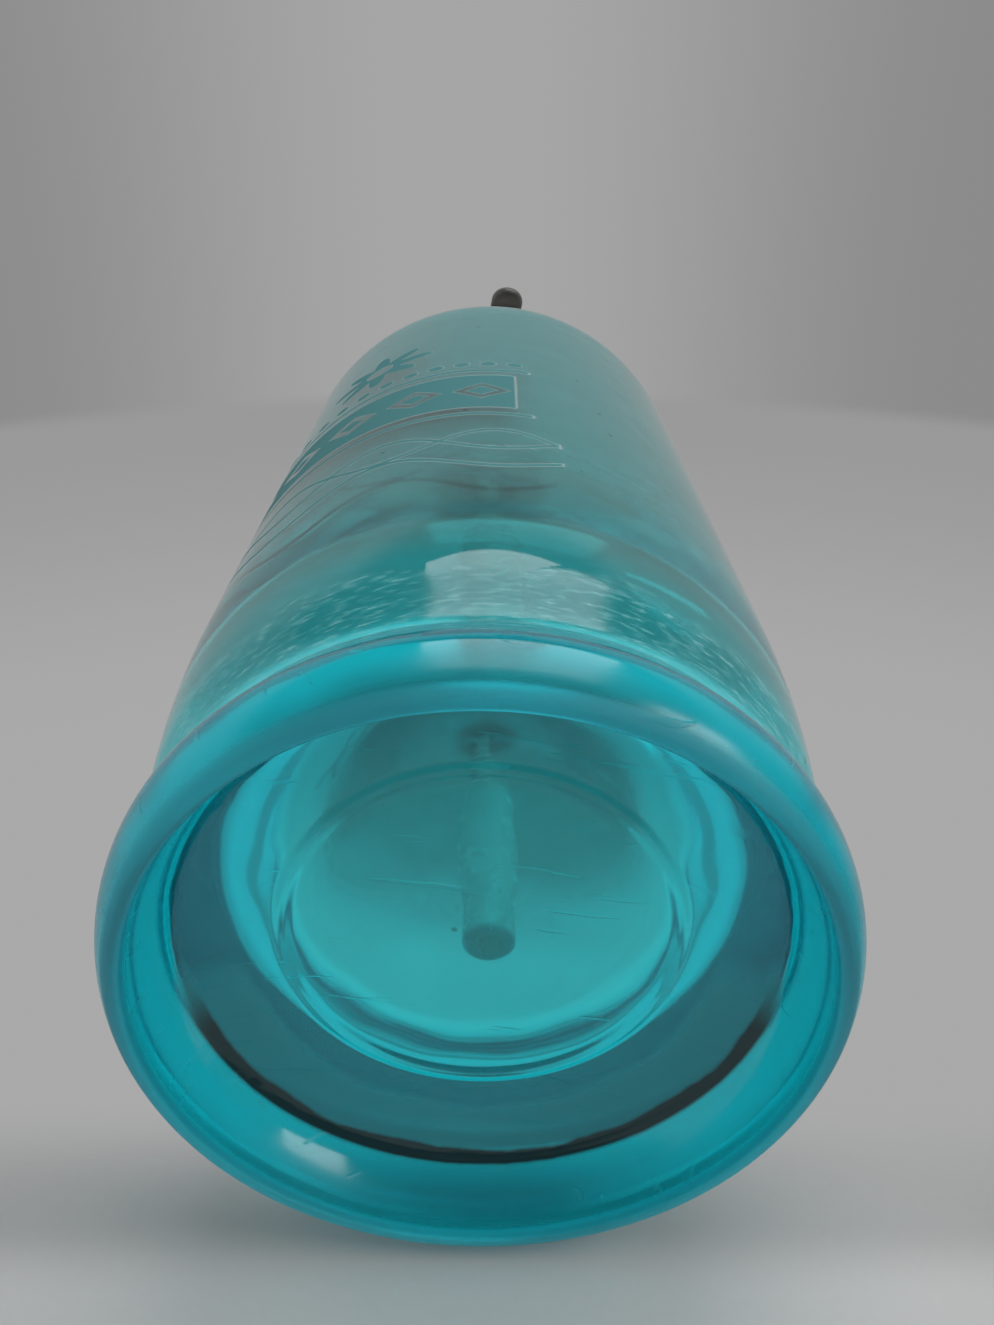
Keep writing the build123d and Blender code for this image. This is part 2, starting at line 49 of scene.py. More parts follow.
# ---------------------------------------------------------------- the photograph's axes and camera
# metres, with the lens and its sensor in millimetres
UP = Vector((0.156, 0.988, 0.0)).normalized()
AXIS = Vector((0.0, 0.0, 1.0))
RIGHT = AXIS.cross(UP)
CAMERA_TILT = math.radians(28.5)
CAMERA_BELOW, CAMERA_ABOVE, CAMERA_SIDE = 0.0974, 0.1040, 0.0021
CAMERA_LENS, CAMERA_SENSOR = 29.2, 36

# ---------------------------------------------------------------- bottle, in millimetres
RECESS_RADIUS, RECESS_DEPTH, RECESS_FLARE = 40.9, 11.0, 0.9
STEP_RADIUS, STEP_RISE, CROWN_RISE = 27.5, 4.4, 0.5
RIDGE_HALF, RIDGE_HEIGHT, ROOT_SOFTNESS = 1.8, 0.5, 0.6
RING_INNER_RADIUS, RING_OUTER_RADIUS, RING_EDGE = 45.0, 46.2, 0.6
FOOT_RADIUS, FOOT_BULGE_HEIGHT = 50.0, 8.4
WAIST_RADIUS, WAIST_HEIGHT = 47.3, 18.0
SWELL_RADIUS, SWELL_HEIGHT = 49.8, 28.0
BODY_RADIUS, BODY_START, SHOULDER_START = 52.0, 60.0, 188.0
SHOULDER_RADIUS, NECK_RADIUS, NECK_FLARE, NECK_ROOT_TOP, NECK_PULL = 54.0, 15.5, 4.7, 244.1, 9
BEAD_RADIUS, BEAD_HEIGHT, BEAD_EDGE = 18.5, 8.0, 1.6
LIP_HEIGHT, MOUTH_RADIUS, MOUTH_EDGE = 269.986, 10.0, 1.2
THROAT_STEP, THROAT_RISE, THROAT_PULL = 2, 6, 8
WALL, FLOOR_HEIGHT, HEEL_RADIUS = 6.5, 24.0, 24.0
SEGMENTS = 256
RIPPLE_DEPTH, RIPPLE_SIZE, RIPPLE_TOP, RIPPLE_FADE = 0.30, 9.0, 90, 30
CHIP_DEPTH, CHIP_SIZE, CHIP_REACH, CHIP_LEAST, CHIP_BROAD = 0.35, 2.2, 2.0, 0.1, 0.3


# ---------------------------------------------------------------- outlines of (radius, height)
def line(start, end, count):
    """Points from start to end, without start."""
    return [tuple(a + (b - a) * i / count for a, b in zip(start, end)) for i in range(1, count + 1)]


def arc(centre, radius, first, last, count):
    """Points on a circle between two angles in degrees, with both ends."""
    turns = [math.radians(first + (last - first) * i / count) for i in range(count + 1)]
    return [(centre[0] + radius * math.cos(t), centre[1] + radius * math.sin(t)) for t in turns]


def smooth(start, start_pull, end, end_pull, count):
    """Points on a curve with given end pulls, without start."""
    points = []
    for i in range(1, count + 1):
        s = i / count
        weights = (2 * s**3 - 3 * s**2 + 1, s**3 - 2 * s**2 + s, 3 * s**2 - 2 * s**3, s**3 - s**2)
        columns = zip(start, start_pull, end, end_pull)
        points.append(tuple(sum(w * value for w, value in zip(weights, column)) for column in columns))
    return points


def spline(start, start_way, end, end_way, count):
    """Points on a curve that leaves and ends in the given directions, without start."""
    span = math.dist(start, end)
    pulls = [tuple(c * span / math.hypot(*way) for c in way) for way in (start_way, end_way)]
    return smooth(start, pulls[0], end, pulls[1], count)


def shoulder_arc(body, radius, end):
    """The shoulder's arc from the body in to the radius end, and the turn of its last point."""
    centre = body - radius
    turn = math.degrees(math.acos((end - centre) / radius))
    return arc((centre, SHOULDER_START), radius, 0, turn, 30), math.radians(turn)


def underside():
    """The stepped hollow of the underside, from its middle to the resting ring."""
    crown = RECESS_DEPTH + STEP_RISE
    slope = (RECESS_RADIUS - STEP_RADIUS, -STEP_RISE)
    run = math.hypot(*slope)
    slope = (slope[0] / run, slope[1] / run)
    points = [(STEP_RADIUS * i / 30, crown + CROWN_RISE * (1 - (i / 30) ** 2)) for i in range(28)]
    for i in range(1, 17):
        radius = STEP_RADIUS + RIDGE_HALF * (i / 8 - 1)
        base = crown + min(0.0, (radius - STEP_RADIUS) * slope[1] / slope[0])
        points.append((radius, base - RIDGE_HEIGHT * math.sin(math.pi * i / 16) ** 2))
    before_root = (RECESS_RADIUS - ROOT_SOFTNESS * slope[0], RECESS_DEPTH - ROOT_SOFTNESS * slope[1])
    points += line(points[-1], before_root, 10)
    flare = spline((RECESS_RADIUS, RECESS_DEPTH), (RECESS_FLARE, -1), (RING_INNER_RADIUS, 0), (0, -1), 24)
    leave = (flare[1][0] - flare[0][0], flare[1][1] - flare[0][1])
    points += smooth(points[-1], [ROOT_SOFTNESS * c for c in slope], flare[0], leave, 5)
    points += [p for p in flare[1:] if p[1] > RING_EDGE]
    return points + arc((RING_INNER_RADIUS + RING_EDGE, RING_EDGE), RING_EDGE, 180, 270, 6)


def bottle_outside():
    """The outside from the middle of the underside to the mouth."""
    points = underside()
    foot = spline((RING_OUTER_RADIUS, 0), (1, 0.8), (FOOT_RADIUS, FOOT_BULGE_HEIGHT), (0, 1), 20)
    points += smooth(points[-1], (RING_EDGE, 0), foot[0], (0.3, 0.24), 5) + foot[1:]
    points += spline(points[-1], (0, 1), (WAIST_RADIUS, WAIST_HEIGHT), (0, 1), 16)
    points += spline(points[-1], (0, 1), (SWELL_RADIUS, SWELL_HEIGHT), (0.15, 1), 12)
    points += spline(points[-1], (0.15, 1), (BODY_RADIUS, BODY_START), (0, 1), 16)
    points += line(points[-1], (BODY_RADIUS, SHOULDER_START), 30)
    shoulder, turn = shoulder_arc(BODY_RADIUS, SHOULDER_RADIUS, NECK_RADIUS + NECK_FLARE)
    points += shoulder[1:]
    pull = (-NECK_PULL * math.sin(turn), NECK_PULL * math.cos(turn))
    points += smooth(points[-1], pull, (NECK_RADIUS, NECK_ROOT_TOP), (0, NECK_PULL), 12)
    bead = LIP_HEIGHT - BEAD_HEIGHT
    points += line(points[-1], (NECK_RADIUS, bead), 6)
    points += line(points[-1], (BEAD_RADIUS - BEAD_EDGE, bead), 2)
    points += arc((BEAD_RADIUS - BEAD_EDGE, bead + BEAD_EDGE), BEAD_EDGE, -90, 0, 6)[1:]
    points += arc((BEAD_RADIUS - BEAD_EDGE, LIP_HEIGHT - BEAD_EDGE), BEAD_EDGE, 0, 90, 6)
    points += arc((MOUTH_RADIUS + MOUTH_EDGE, LIP_HEIGHT - MOUTH_EDGE), MOUTH_EDGE, 90, 180, 6)
    return points


def bottle_inside():
    """The hollow from the mouth down to the middle of the floor."""
    cavity = BODY_RADIUS - WALL
    dome, turn = shoulder_arc(cavity, SHOULDER_RADIUS - WALL, MOUTH_RADIUS + THROAT_STEP)
    points = line((MOUTH_RADIUS, LIP_HEIGHT - MOUTH_EDGE), (MOUTH_RADIUS, dome[-1][1] + THROAT_RISE), 10)
    pull = (THROAT_PULL * math.sin(turn), -THROAT_PULL * math.cos(turn))
    points += smooth(points[-1], (0, -THROAT_PULL), dome[-1], pull, 10)
    points += dome[-2::-1]
    points += line(points[-1], (cavity, FLOOR_HEIGHT + HEEL_RADIUS), 60)
    points += arc((cavity - HEEL_RADIUS, FLOOR_HEIGHT + HEEL_RADIUS), HEEL_RADIUS, 0, -90, 36)[1:]
    points += line(points[-1], (0, FLOOR_HEIGHT), 16)
    return points


def ripple(radius, height, turn, inner):
    """How far out of true a point of the glass is: a wavy floor and a chipped edge of the hollow."""
    place = Vector((radius * math.cos(turn), radius * math.sin(turn), height))
    if inner:
        weight = max(0.0, min(1.0, (RIPPLE_TOP - height) / RIPPLE_FADE))
        return RIPPLE_DEPTH * weight * noise.noise(place / RIPPLE_SIZE)
    edge = max(0.0, 1 - math.dist((radius, height), (RECESS_RADIUS, RECESS_DEPTH)) / CHIP_REACH)
    if not edge:
        return 0.0
    chip = max(0.0, noise.noise(place / CHIP_SIZE) - CHIP_LEAST)
    return -CHIP_DEPTH * edge * (chip + CHIP_BROAD * noise.noise(place / (CHIP_SIZE * 4)))


def add_object(name, data):
    """An object with the given data, put in the scene."""
    piece = bpy.data.objects.new(name, data)
    scene.collection.objects.link(piece)
    return piece


def lathe(name, outline, inner_from):
    """A mesh turned about the bottle's axis; the outline's points from inner_from on are the hollow's."""
    vertices, rings, faces, inside = [], [], [], []
    for index, (radius, height) in enumerate(outline):
        inner = index >= inner_from
        count = SEGMENTS if radius > 1e-6 else 1
        rings.append([len(vertices) + k for k in range(count)])
        for k in range(count):
            turn = 2 * math.pi * k / SEGMENTS
            reach, high = radius, height
            if count > 1:
                shift = ripple(radius, height, turn, inner)
                reach, high = (radius, height + shift) if height < BODY_START else (radius + shift, height)
            vertices.append((reach * MM * math.cos(turn), reach * MM * math.sin(turn), high * MM))
            inside.append(1.0 if inner else 0.0)
    for low, high in zip(rings, rings[1:]):
        for k in range(SEGMENTS):
            after = (k + 1) % SEGMENTS
            corners = [low[k % len(low)], low[after % len(low)], high[after % len(high)], high[k % len(high)]]
            faces.append(list(dict.fromkeys(corners)))
    mesh = bpy.data.meshes.new(name)
    mesh.from_pydata(vertices, [], faces)
    mesh.polygons.foreach_set("use_smooth", [True] * len(mesh.polygons))
    mesh.attributes.new("inner_side", "FLOAT", "POINT").data.foreach_set("value", inside)
    mesh.update()
    return add_object(name, mesh)


# ---------------------------------------------------------------- node helpers
def new_material(name, **values):
    """A node material, with the given values on its Principled shader."""
    material = bpy.data.materials.new(name)
    material.use_nodes = True
    shader = material.node_tree.nodes["Principled BSDF"]
    for socket, value in values.items():
        shader.inputs[socket.replace("_", " ")].default_value = value
    return material, shader


def wire(tree, source, target):
    tree.links.new(source, target)


def put(tree, socket, value):
    """A link or a plain value on a socket."""
    if isinstance(value, bpy.types.NodeSocket):
        wire(tree, value, socket)
    else:
        socket.default_value = value


def add_node(tree, kind, **values):
    """A node, with the given values or links on its inputs."""
    node = tree.nodes.new(kind)
    for socket, value in values.items():
        put(tree, node.inputs[socket.replace("_", " ")], value)
    return node


def calc(tree, operation, *values):
    """One step of arithmetic on sockets and numbers."""
    node = tree.nodes.new("ShaderNodeMath")
    node.operation = operation
    for socket, value in zip(node.inputs, values):
        put(tree, socket, value)
    return node.outputs[0]


def gather(tree, operation, values):
    """Several values joined one after another by one kind of arithmetic."""
    result = values[0]
    for value in values[1:]:
        result = calc(tree, operation, result, value)
    return result


def product(tree, *values):
    return gather(tree, "MULTIPLY", values)


def total(tree, *values):
    return gather(tree, "ADD", values)


def largest(tree, *values):
    return gather(tree, "MAXIMUM", values)


def remainder(tree, value):
    """1 less the value."""
    return calc(tree, "SUBTRACT", 1.0, value)


def reach_of(tree, x, y):
    """The distance of the point (x, y) from zero."""
    return calc(tree, "SQRT", total(tree, product(tree, x, x), product(tree, y, y)))


def vector_calc(tree, operation, vector, second=None):
    """One step of vector arithmetic: its outputs."""
    node = add_node(tree, "ShaderNodeVectorMath", Vector=vector)
    node.operation = operation
    if second is not None:
        node.inputs[1].default_value = second
    return node.outputs


def toward(tree, place, direction):
    """How far a place, or a direction of view in the world, lies along a direction."""
    return vector_calc(tree, "DOT_PRODUCT", place, direction)["Value"]


def split(tree, vector):
    """A vector's x, y and z."""
    return add_node(tree, "ShaderNodeSeparateXYZ", Vector=vector).outputs


def own_place(tree):
    """The place on the object itself, in metres."""
    return tree.nodes.new("ShaderNodeTexCoord").outputs["Object"]


def ramp(tree, value, low, high, start=0.0, end=1.0):
    """A value's run from low to high as a smooth run from start to end."""
    node = tree.nodes.new("ShaderNodeMapRange")
    node.interpolation_type = "SMOOTHSTEP"
    sockets = ("Value", "From Min", "From Max", "To Min", "To Max")
    for socket, number in zip(sockets, (value, low, high, start, end)):
        put(tree, node.inputs[socket], number)
    return node.outputs["Result"]


def blend(tree, factor, base, colour):
    """A colour that goes from base to colour as factor goes from 0 to 1."""
    mix = tree.nodes.new("ShaderNodeMix")
    mix.data_type = "RGBA"
    for socket, value in (("Factor", factor), ("A", base), ("B", colour)):
        put(tree, mix.inputs[socket], value)
    return mix.outputs["Result"]


def cloud(tree, place, scale, detail, stretch=(1, 1, 1)):
    """Noise from 0 to 1 about a place, finer along the axes that are stretched."""
    mapping = add_node(tree, "ShaderNodeMapping", Vector=place, Scale=stretch)
    spots = add_node(tree, "ShaderNodeTexNoise", Vector=mapping.outputs[0], Scale=scale, Detail=detail)
    return spots.outputs["Fac"]


def bump(tree, height, strength, depth, **values):
    """A normal bent by a relief of the given depth in metres."""
    node = add_node(tree, "ShaderNodeBump", Height=height, Strength=strength, Distance=depth, **values)
    return node.outputs[0]


# ---------------------------------------------------------------- etched ornament, in millimetres
DESIGN_TURN = math.radians(51)
ROW_HALF, WAVES_HALF, EDGE, WIDE_EDGE, FINE_EDGE = 36, 40, 0.5, 0.6, 0.3
PANEL_HALF_WIDTH, PANEL_MIDDLE, PANEL_HALF_HEIGHT = 33, 107, 12
LOZENGE_PITCH, LOZENGE_REACH, LOZENGE_CORE = 13.2, (5.8, 5.2), (2.8, 3.4)
RULES, RULE_HALF = (123, 91), 0.9
DOT_PITCH, DOT_ROW, DOT_RADIUS = 5.5, 128.5, 1.8
ROSETTE_ACROSS, ROSETTE_ALONG, ROSETTE_EDGE, ROSETTE_EYE = 2.0, 146, (0.4, -0.4), (3.0, 3.6)
PETALS, PETAL_MIDDLE, PETAL_SWING = 8.0, 9.5, 3.5
WAVES, WAVE_RATE, WAVE_HALF = ((5.0, 76.0), (-5.0, 76.0), (4.0, 66.0)), 0.16, 0.75


def stripe(tree, value, middle, half, soft):
    """1 within half of the middle and 0 beyond it."""
    away = calc(tree, "ABSOLUTE", calc(tree, "SUBTRACT", value, middle))
    return ramp(tree, away, half + soft, half - soft)


def repeat(tree, value, pitch):
    """The distance to the nearest multiple of the pitch."""
    return calc(tree, "ABSOLUTE", calc(tree, "WRAP", value, pitch / 2, -pitch / 2))


def dots(tree, across, along, pitch, middle, radius):
    """A row of round dots."""
    away = reach_of(tree, repeat(tree, across, pitch), calc(tree, "SUBTRACT", along, middle))
    return ramp(tree, away, radius + FINE_EDGE, radius - FINE_EDGE)


def lozenge_panel(tree, across, along):
    """A frosted panel with a row of clear lozenges that have frosted cores."""
    panel = product(tree, stripe(tree, across, 0, PANEL_HALF_WIDTH, EDGE),
                    stripe(tree, along, PANEL_MIDDLE, PANEL_HALF_HEIGHT, EDGE))
    skew = total(tree, repeat(tree, across, LOZENGE_PITCH),
                 calc(tree, "ABSOLUTE", calc(tree, "SUBTRACT", along, PANEL_MIDDLE)))
    clear = product(tree, ramp(tree, skew, *LOZENGE_REACH), ramp(tree, skew, *LOZENGE_CORE))
    return product(tree, panel, remainder(tree, clear))


def rosette(tree, across, along):
    """A flower of round petals with a clear eye."""
    x = calc(tree, "SUBTRACT", across, ROSETTE_ACROSS)
    y = calc(tree, "SUBTRACT", along, ROSETTE_ALONG)
    reach = reach_of(tree, x, y)
    spin = calc(tree, "ARCTAN2", y, x)
    swing = product(tree, PETAL_SWING, calc(tree, "COSINE", product(tree, spin, PETALS)))
    flower = ramp(tree, calc(tree, "SUBTRACT", reach, total(tree, PETAL_MIDDLE, swing)), *ROSETTE_EDGE)
    return product(tree, flower, ramp(tree, reach, *ROSETTE_EYE))


def waves(tree, across, along):
    """Three wavy lines, two of them crossing."""
    lines = []
    for size, middle in WAVES:
        swing = product(tree, size, calc(tree, "SINE", product(tree, across, WAVE_RATE)))
        wave = stripe(tree, calc(tree, "SUBTRACT", along, swing), middle, WAVE_HALF, FINE_EDGE)
        lines.append(product(tree, wave, stripe(tree, across, 0, WAVES_HALF, WIDE_EDGE)))
    return lines


def etched_design(tree, across, along):
    """A plain frosted ornament: a panel of lozenges between lines, a dotted row, a rosette and waves."""
    ends = stripe(tree, across, 0, ROW_HALF, WIDE_EDGE)
    rules = largest(tree, *[stripe(tree, along, rule, RULE_HALF, FINE_EDGE) for rule in RULES])
    beads = dots(tree, across, along, DOT_PITCH, DOT_ROW, DOT_RADIUS)
    return largest(tree, lozenge_panel(tree, across, along), product(tree, rules, ends),
                   product(tree, beads, ends), rosette(tree, across, along), *waves(tree, across, along))


# ---------------------------------------------------------------- glass
# Pairs are where a mark starts and where it is full: heights and radii in millimetres, or shares of a noise.
GLASS_ABSORBS, GLASS_DENSITY, GLASS_IOR = (0.0, 0.950, 0.968, 1), 133.0, 1.52
SMOOTH_ROUGHNESS, HAZE_LEAST, HAZE_UNEVEN = 0.03, 0.036, 0.048
UNEVEN_SCALE, WAVY_SCALE, WAVY_RELIEF, NICK_RELIEF = 90, 30, (0.25, 0.0006), (0.3, 0.0001)
UNDER_TOP, UNDER_RADII, UNDER_WEAR = (18, 17), (45.3, 44.5), 0.06
RING_HEIGHTS, RING_WEAR = (2.4, 0.6), 0.40
FOOT_HEIGHTS, FOOT_WEAR = (9.0, 4.0), 0.18
BAND_START, BAND_END, BAND_JAG, BAND_SCUFF = (12.5, 15.0), (31.5, 29.5), 14.0, 0.12
SCUFF_SCALE, SCUFF_STRETCH, SCUFF_SHOWS = 420, (1, 1, 5), (0.45, 0.75)
SCUFF_DENSITY, SCUFF_TONE = 0.22, (0.40, 0.93, 0.95, 1)
SCRATCH_SCALE, SCRATCH_STRETCH, SCRATCH_SHOWS = 45, (1, 14, 3), (0.66, 0.70)
SCRATCH_HEIGHTS, SCRATCH_ROUGHNESS = (20, 16), 0.12
FILM_HEIGHTS, FILM_LEAST, FILM_UNEVEN = (56, 92), 0.7, 0.6
FILM_ROUGHNESS, FILM_DENSITY, FILM_TONE = 0.30, 0.62, (0.50, 0.57, 0.56, 1)
MILK_HEIGHTS, MILK_DENSITY, MILK_TONE = (48, 30), 0.11, (0.12, 0.92, 0.98, 1)
FOOT_TONE_HEIGHTS, FOOT_TONE = (17, 12), (0.03, 0.74, 0.86, 1)
# painted shade: a near-black crescent on the underside, between the step and the recess's edge, on the side
# that faces down
CRESCENT_SHADE_STEPS, CRESCENT_SHADE_JAG = (((39.2, 40.0), 0.45), ((31.0, 34.5), 0.55)), 2.4
CRESCENT_SHADE_OUTER, CRESCENT_SHADE_DOWNWARD = (41.9, 41.4), (-0.10, 0.35)
CRESCENT_SHADE_DENSITY, CRESCENT_SHADE_TONE = 0.97, (0.01, 0.035, 0.04, 1)
SPECK_SCALE, SPECK_SIZE, SPECK_TONE = 95.0, (0.055, 0.035), (0.12, 0.16, 0.15, 1)
DESIGN_DENSITY, DESIGN_FROST, DESIGN_TONE = 0.85, 0.75, (0.035, 0.22, 0.235, 1)
WHITE = (1, 1, 1, 1)


def jag(tree, value, uneven, size):
    """A value made uneven by up to half the size either way."""
    return total(tree, value, product(tree, calc(tree, "SUBTRACT", uneven, 0.5), size))


def glass_masks(tree):
    """Masks from 0 to 1 of the glass's sides and marks, with the place and height that they go by."""
    place = own_place(tree)
    x, y, z = split(tree, place)
    high = product(tree, z, 1 / MM)
    radius = product(tree, reach_of(tree, x, y), 1 / MM)
    across = product(tree, calc(tree, "SUBTRACT", calc(tree, "ARCTAN2", y, x), DESIGN_TURN), BODY_RADIUS)
    downward = calc(tree, "DIVIDE", product(tree, toward(tree, place, -UP), 1 / MM), radius)
    inner = tree.nodes.new("ShaderNodeAttribute")
    inner.attribute_name = "inner_side"
    inner = inner.outputs["Fac"]
    outer = remainder(tree, inner)
    under = product(tree, outer, ramp(tree, high, *UNDER_TOP), ramp(tree, radius, *UNDER_RADII))
    side = calc(tree, "SUBTRACT", outer, under)

    uneven = cloud(tree, place, UNEVEN_SCALE, 4)
    jagged = jag(tree, high, uneven, BAND_JAG)
    band = product(tree, ramp(tree, jagged, *BAND_START), ramp(tree, jagged, *BAND_END), side)
    scuffed = ramp(tree, cloud(tree, place, SCUFF_SCALE, 4, SCUFF_STRETCH), *SCUFF_SHOWS)
    scratched = ramp(tree, cloud(tree, place, SCRATCH_SCALE, 2, SCRATCH_STRETCH), *SCRATCH_SHOWS)
    upper = product(tree, ramp(tree, high, *FILM_HEIGHTS), inner)
    edge = jag(tree, radius, uneven, CRESCENT_SHADE_JAG)
    rooted = total(tree, *[product(tree, ramp(tree, edge, *radii), share) for radii, share in CRESCENT_SHADE_STEPS])
    return SimpleNamespace(
        place=place, high=high, uneven=uneven, inner=inner, outer=outer, under=under, band=band,
        design=product(tree, etched_design(tree, across, high), outer),
        scuffs=product(tree, band, scuffed),
        scratches=product(tree, scratched, ramp(tree, high, *SCRATCH_HEIGHTS), outer),
        film=product(tree, upper, total(tree, FILM_LEAST, product(tree, uneven, FILM_UNEVEN))),
        milky=product(tree, outer, ramp(tree, high, *MILK_HEIGHTS)),
        # painted shade on the underside, darkest at the recess's edge and only on the side that faces down
        painted_crescent_shade=product(tree, under, rooted, ramp(tree, radius, *CRESCENT_SHADE_OUTER),
                     ramp(tree, downward, *CRESCENT_SHADE_DOWNWARD)),
    )


def glass_cover(tree, masks):
    """How much of the clear glass is covered by film, milkiness, scuffs, etching and the painted shade on the
    underside.
    """
    veiled = total(tree, product(tree, masks.film, FILM_DENSITY), product(tree, masks.milky, MILK_DENSITY),
                   product(tree, masks.scuffs, SCUFF_DENSITY))
    return largest(tree, veiled, product(tree, masks.design, DESIGN_DENSITY),
                   product(tree, masks.painted_crescent_shade, CRESCENT_SHADE_DENSITY))


def glass_roughness(tree, masks):
    """How rough the glass is: smooth outside, hazy inside, worn at the foot, frosted where etched."""
    haze = product(tree, masks.inner, total(tree, HAZE_LEAST, product(tree, masks.uneven, HAZE_UNEVEN)))
    haze = total(tree, haze, product(tree, masks.film, FILM_ROUGHNESS))
    worn = total(tree, product(tree, ramp(tree, masks.high, *RING_HEIGHTS), RING_WEAR),
                 product(tree, ramp(tree, masks.high, *FOOT_HEIGHTS), FOOT_WEAR))
    rough = total(tree, SMOOTH_ROUGHNESS, haze, product(tree, masks.outer, worn),
                  product(tree, masks.under, UNDER_WEAR), product(tree, masks.band, BAND_SCUFF),
                  product(tree, masks.scratches, SCRATCH_ROUGHNESS))
    return largest(tree, rough, product(tree, masks.design, DESIGN_FROST))


def glass_tone(tree, masks):
    """The colour of the glass's marks and of the painted shade on its underside, laid over each other."""
    specks = add_node(tree, "ShaderNodeTexVoronoi", Vector=masks.place, Scale=SPECK_SCALE).outputs["Distance"]
    speck = product(tree, ramp(tree, specks, *SPECK_SIZE), masks.inner)
    foot = product(tree, masks.milky, ramp(tree, masks.high, *FOOT_TONE_HEIGHTS))
    marks = ((masks.film, FILM_TONE), (masks.milky, MILK_TONE), (foot, FOOT_TONE), (masks.scuffs, SCUFF_TONE),
             (masks.painted_crescent_shade, CRESCENT_SHADE_TONE), (speck, SPECK_TONE), (masks.design, DESIGN_TONE))
    tone = WHITE
    for mask, colour in marks:
        tone = blend(tree, mask, tone, colour)
    return tone


def glass_relief(tree, masks):
    """The slow waves of moulded glass, with nicks where it is scratched and scuffed."""
    wavy = bump(tree, cloud(tree, masks.place, WAVY_SCALE, 2), *WAVY_RELIEF)
    nicks = total(tree, masks.scratches, product(tree, masks.band, masks.uneven))
    return bump(tree, nicks, *NICK_RELIEF, Normal=wavy)


def glass_material():
    """Blue-green glass: hazy inside, scuffed at the foot, scratched, and etched with a plain ornament."""
    material, shader = new_material("bottle_glass", Transmission_Weight=1.0, IOR=GLASS_IOR)
    tree = material.node_tree
    masks = glass_masks(tree)
    wire(tree, remainder(tree, glass_cover(tree, masks)), shader.inputs["Transmission Weight"])
    wire(tree, glass_roughness(tree, masks), shader.inputs["Roughness"])
    wire(tree, glass_tone(tree, masks), shader.inputs["Base Color"])
    wire(tree, glass_relief(tree, masks), shader.inputs["Normal"])
    tint = add_node(tree, "ShaderNodeVolumeAbsorption", Color=GLASS_ABSORBS, Density=GLASS_DENSITY)
    wire(tree, tint.outputs[0], tree.nodes["Material Output"].inputs["Volume"])
    return material


# ---------------------------------------------------------------- metal, rubber, tube
GRAIN_DEPTH, MIDDLING, TUBE_ROUGHNESS = 0.0002, (0.3, 0.7), (0.12, 0.35)
TUBE_TONES = ((0.80, 0.90, 0.86, 1), (0.93, 0.97, 0.94, 1))


def mottled(name, low, high, scale, rough_low, rough_high, metallic, strength):
    """A metal or rubber finish with uneven colour, uneven gloss and a fine grain."""
    material, shader = new_material(name, Metallic=metallic)
    tree = material.node_tree
    place = own_place(tree)
    patches = cloud(tree, place, scale, 6)
    colours = add_node(tree, "ShaderNodeValToRGB", Fac=patches)
    for element, position, colour in zip(colours.color_ramp.elements, (0.35, 0.65), (low, high)):
        element.position, element.color = position, (*colour, 1)
    wire(tree, colours.outputs[0], shader.inputs["Base Color"])
    wire(tree, ramp(tree, patches, *MIDDLING, rough_low, rough_high), shader.inputs["Roughness"])
    grain = cloud(tree, place, scale * 12, 3)
    wire(tree, bump(tree, grain, strength, GRAIN_DEPTH), shader.inputs["Normal"])
    return material


def tube_material():
    """Glass gone pale and cloudy with scale."""
    material, shader = new_material("tube_glass", Transmission_Weight=0.35, IOR=1.5)
    tree = material.node_tree
    scale = cloud(tree, own_place(tree), 160, 4)
    wire(tree, ramp(tree, scale, *MIDDLING, *TUBE_ROUGHNESS), shader.inputs["Roughness"])
    colours = add_node(tree, "ShaderNodeValToRGB", Fac=scale)
    for element, tone in zip(colours.color_ramp.elements, TUBE_TONES):
        element.color = tone
    wire(tree, colours.outputs[0], shader.inputs["Base Color"])
    return material


# ---------------------------------------------------------------- stage, in metres
CLOTH_COLOUR, CLOTH_SPREAD = (0.50, 0.50, 0.495, 1), (0.2, 0.8)
FOLD_SCALE, FOLD_TONES, WEAVE_SCALE, WEAVE_TONES = 3.0, (0.95, 1.03), 700, (-0.01, 0.01)
TABLE_NORMAL = (UP + AXIS * 0.0655).normalized()
TABLE_CONTACT = AXIS * 0.0084 - UP * 0.0502
TABLE_SIZE, TABLE_EDGE, TABLE_BEYOND = 0.6, (0.0855, 0.19), (-0.004, 0.022)
# painted light and shade in the cloth's colour: a brighter pool round the foot and a darker painted shadow
# where the glass touches
PATCH_STRETCH, PAINTED_GLOW_REACH, PAINTED_GLOW = (1.0, 1.6, 1.0), (0.12, 0.03), (0.92, 1.25)
PAINTED_SHADOW_REACH, PAINTED_CONTACT_SHADOW = (-0.014, -0.002), (1.0, 0.76)
FLOOR_SIZE, FLOOR_EDGE, FLOOR_HOLE = 5.0, (0.48, 1.2), (0.17, 0.13)


def axes_at(origin, x, y, z):
    """The matrix of the given axes at an origin."""
    matrix = Matrix((x, y, z)).transposed().to_4x4()
    matrix.translation = origin
    return matrix


